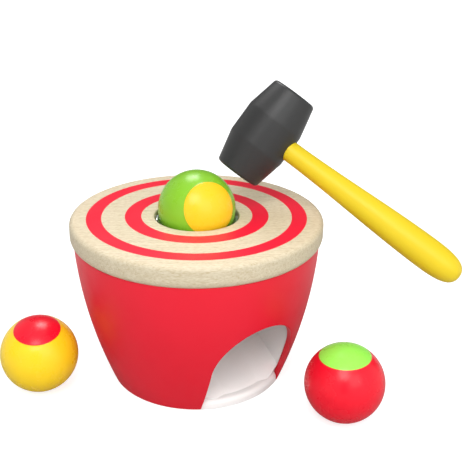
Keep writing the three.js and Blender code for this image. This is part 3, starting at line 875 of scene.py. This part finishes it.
def hammer_head():
    """A double taper with slightly domed faces and a socket for the handle."""
    half = HEAD_LENGTH / 2
    mid = HEAD_MID_LENGTH / 2
    rim = half - HEAD_DOME
    bm, corners = wire([(0, -half), (HEAD_FACE_R, -rim), (HEAD_MID_R, -mid), (HEAD_MID_R, mid),
                        (HEAD_FACE_R, rim), (0, half)], closed=False)
    for corner in (corners[1], corners[4]):
        round_corner(bm, corner, HEAD_RIM)
    for corner in (corners[2], corners[3]):
        round_corner(bm, corner, HEAD_CREASE)
    head = spun(bm, ROUND_STEPS // 2)
    socket = bmesh.new()
    add_rod(socket, HANDLE_ROOT_R + FIT, HEAD_MID_R - TENON_DEPTH - FIT, HEAD_MID_R + BEYOND, 0, 0)
    head = combined(head, placed(socket, ALONG_HANDLE), "DIFFERENCE")
    head = placed(head, HAMMER_PLACE)
    even_normals(piece("turned_head", head, "hammer", ["hammer_head"], [HEAD_GREY]))


def hammer_handle():
    """A turned stick that swells to the grip and ends bluntly, with its tenon in the head."""
    third = HANDLE_GRIP_AT / 3
    tenon = HEAD_MID_R - TENON_DEPTH
    grip = HEAD_MID_R + HANDLE_GRIP_AT
    tip = HEAD_MID_R + HANDLE_LENGTH
    swell = interpolate_bezier((HANDLE_ROOT_R, HEAD_MID_R), (HANDLE_ROOT_R, HEAD_MID_R + third),
                               (HANDLE_GRIP_R, grip - third), (HANDLE_GRIP_R, grip), SIDE_STEPS)
    end = interpolate_bezier((HANDLE_GRIP_R, grip), (HANDLE_GRIP_R, grip + (tip - grip) * HANDLE_FULL),
                             (HANDLE_GRIP_R * HANDLE_BLUNT, tip), (0, tip), SIDE_STEPS)
    side = [(point.x, point.y) for point in swell + end[1:]]
    handle = spun(wire([(0, tenon), (HANDLE_ROOT_R, tenon), *side], closed=False)[0], BALL_STEPS)
    handle = placed(handle, HAMMER_PLACE @ ALONG_HANDLE)
    piece("turned_handle", handle, "hammer", ["hammer_handle"], [HANDLE_YELLOW])


drum_shell()
beech_lid()
base_plate()
ball_chute()
spring_clips()
for screw_kind in SCREW_COUNT:
    screws(screw_kind)
painted_ball("green_ball", GREEN_BALL_DOT, [GREEN, DOT_YELLOW])
painted_ball("yellow_ball", YELLOW_BALL_DOT, [YELLOW, DOT_RED])
painted_ball("red_ball", RED_BALL_DOT, [RED, DOT_GREEN])
hammer_head()
hammer_handle()


# Studio

FLOOR_REACH = 8.0
FLOOR_DROP = 0.3 * MM
FLOOR_WHITE = 0.55
# The floor's own light for the camera near the drum, and the distances over which it rises to white
FLOOR_GLOW = 0.75
FLOOR_CLEAR = (0.3, 1.2)
# The floor and the sky in reflections, and the distances over which the floor's light rises there: close to
# the drum's foot the floor is dark in reflections, a painted shadow
MIRRORED_WHITE = 0.3
MIRRORED_FLOOR = 0.55
MIRRORED_RISE = (0.12, 0.22)
MIRRORED_SKY = 0.1
# The sky's light: even up to SKY_RISE of the way up, then rising to the zenith
SKY_RISE = 0.55
SKY_HORIZON = 0.14
SKY_ZENITH = 0.95
# Lamp: place, point that it faces, width, height and radiance
LAMPS = {
    "left_panel": (Vector((-1.04, -0.3, 0.5)), Vector((0, 0, 0.5)), 1.15, 1.1, 0.8),
    "right_panel": (Vector((0.43, -1.06, 0.5)), Vector((0, 0, 0.5)), 3.4, 1.1, 0.9),
    "front_panel": (Vector((-0.07, -0.75, 0.52)), Vector((0, -0.04, 0.03)), 0.5, 0.5, 2.0),
    "top_lamp": (Vector((0.22, 0.48, 0.73)), Vector((0, 0, 0.08)), 0.3, 0.3, 2.7),
    "back_panel": (Vector((-0.6, 1.0, 0.5)), Vector((0, 0, 0.3)), 1.6, 1.0, 0.5),
    "high_panel": (Vector((-0.5, -0.55, 0.95)), Vector((0, 0, 0.08)), 0.55, 0.55, 7.5),
}
# A small lamp overhead that shows only as a highlight on glossy paint
GLEAM = (Vector((0.085, 0.24, 0.53)), Vector((0, 0, 0.13)), 0.18, 0.18, 10.0)


def studio_floor():
    """A plain floor that looks white all round and keeps the object's shadow."""
    bm = bmesh.new()
    bmesh.ops.create_grid(bm, x_segments=1, y_segments=1, size=FLOOR_REACH,
                          matrix=Matrix.Translation((0, 0, -FLOOR_DROP)))
    mesh = bpy.data.meshes.new("studio_floor")
    bm.to_mesh(mesh)
    bm.free()
    material = bpy.data.materials.new("studio_floor")
    material.use_nodes = True
    tree = material.node_tree
    tree.nodes.clear()
    light = add(tree, "ShaderNodeLightPath").outputs
    seen = math_node(tree, "MAXIMUM", light["Is Camera Ray"], light["Is Transmission Ray"])
    away = axis_distance(tree, object_coords(tree))
    glow = math_node(tree, "MULTIPLY", seen, remap(tree, away, *FLOOR_CLEAR, FLOOR_GLOW, 1))
    # Painted shadow: in reflections the floor stays dark close round the drum's foot
    mirrored = remap(tree, away, *MIRRORED_RISE, 0, MIRRORED_FLOOR)
    glow = math_node(tree, "MULTIPLY_ADD", light["Is Glossy Ray"], mirrored, glow)
    white = remap(tree, light["Is Glossy Ray"], 0, 1, FLOOR_WHITE, MIRRORED_WHITE)
    matt = add(tree, "ShaderNodeBsdfDiffuse", {"Color": white})
    shine = add(tree, "ShaderNodeEmission", {"Strength": glow})
    both = add(tree, "ShaderNodeAddShader", {0: matt.outputs[0], 1: shine.outputs[0]})
    add(tree, "ShaderNodeOutputMaterial", {"Surface": both.outputs[0]})
    mesh.materials.append(material)
    floor = bpy.data.objects.new("studio_floor", mesh)
    bpy.context.scene.collection.objects.link(floor)


def studio_world():
    """A plain sky, brighter overhead, that looks white all round."""
    world = bpy.data.worlds.new("studio")
    bpy.context.scene.world = world
    world.use_nodes = True
    tree = world.node_tree
    direction = add(tree, "ShaderNodeTexCoord").outputs["Generated"]
    height = add(tree, "ShaderNodeSeparateXYZ", {0: direction}).outputs["Z"]
    level = remap(tree, height, SKY_RISE, 1, SKY_HORIZON, SKY_ZENITH)
    light = add(tree, "ShaderNodeLightPath").outputs
    seen = math_node(tree, "MAXIMUM", light["Is Camera Ray"], light["Is Transmission Ray"])
    seen = math_node(tree, "MULTIPLY_ADD", light["Is Glossy Ray"], MIRRORED_SKY, seen)
    level = math_node(tree, "MAXIMUM", level, seen)
    tree.links.new(level, tree.nodes["Background"].inputs["Strength"])
    tree.nodes["Background"].inputs["Color"].default_value = (1, 1, 1, 1)


def studio_lamp(name, place, aim, width, height, radiance):
    lamp = bpy.data.lights.new(name, "AREA")
    lamp.shape = "RECTANGLE"
    lamp.size = width
    lamp.size_y = height
    lamp.energy = radiance * math.pi * width * height
    holder = bpy.data.objects.new(name, lamp)
    holder.location = place
    holder.rotation_euler = (aim - place).to_track_quat("-Z", "Y").to_euler()
    bpy.context.scene.collection.objects.link(holder)
    return holder


def photo_camera():
    camera = bpy.data.cameras.new("photo_camera")
    camera.lens = CAMERA_LENS
    camera.sensor_width = CAMERA_SENSOR
    holder = bpy.data.objects.new("photo_camera", camera)
    holder.location = CAMERA_AT
    roll = Quaternion(UP, math.radians(CAMERA_ROLL))
    holder.rotation_euler = (CAMERA_AIM.to_track_quat("-Z", "Y") @ roll).to_euler()
    bpy.context.scene.collection.objects.link(holder)
    bpy.context.scene.camera = holder


studio_floor()
studio_world()
for lamp_name, lamp_settings in LAMPS.items():
    studio_lamp(lamp_name, *lamp_settings)
studio_lamp("gleam", *GLEAM).visible_diffuse = False
photo_camera()
bpy.context.scene.view_settings.view_transform = "Standard"
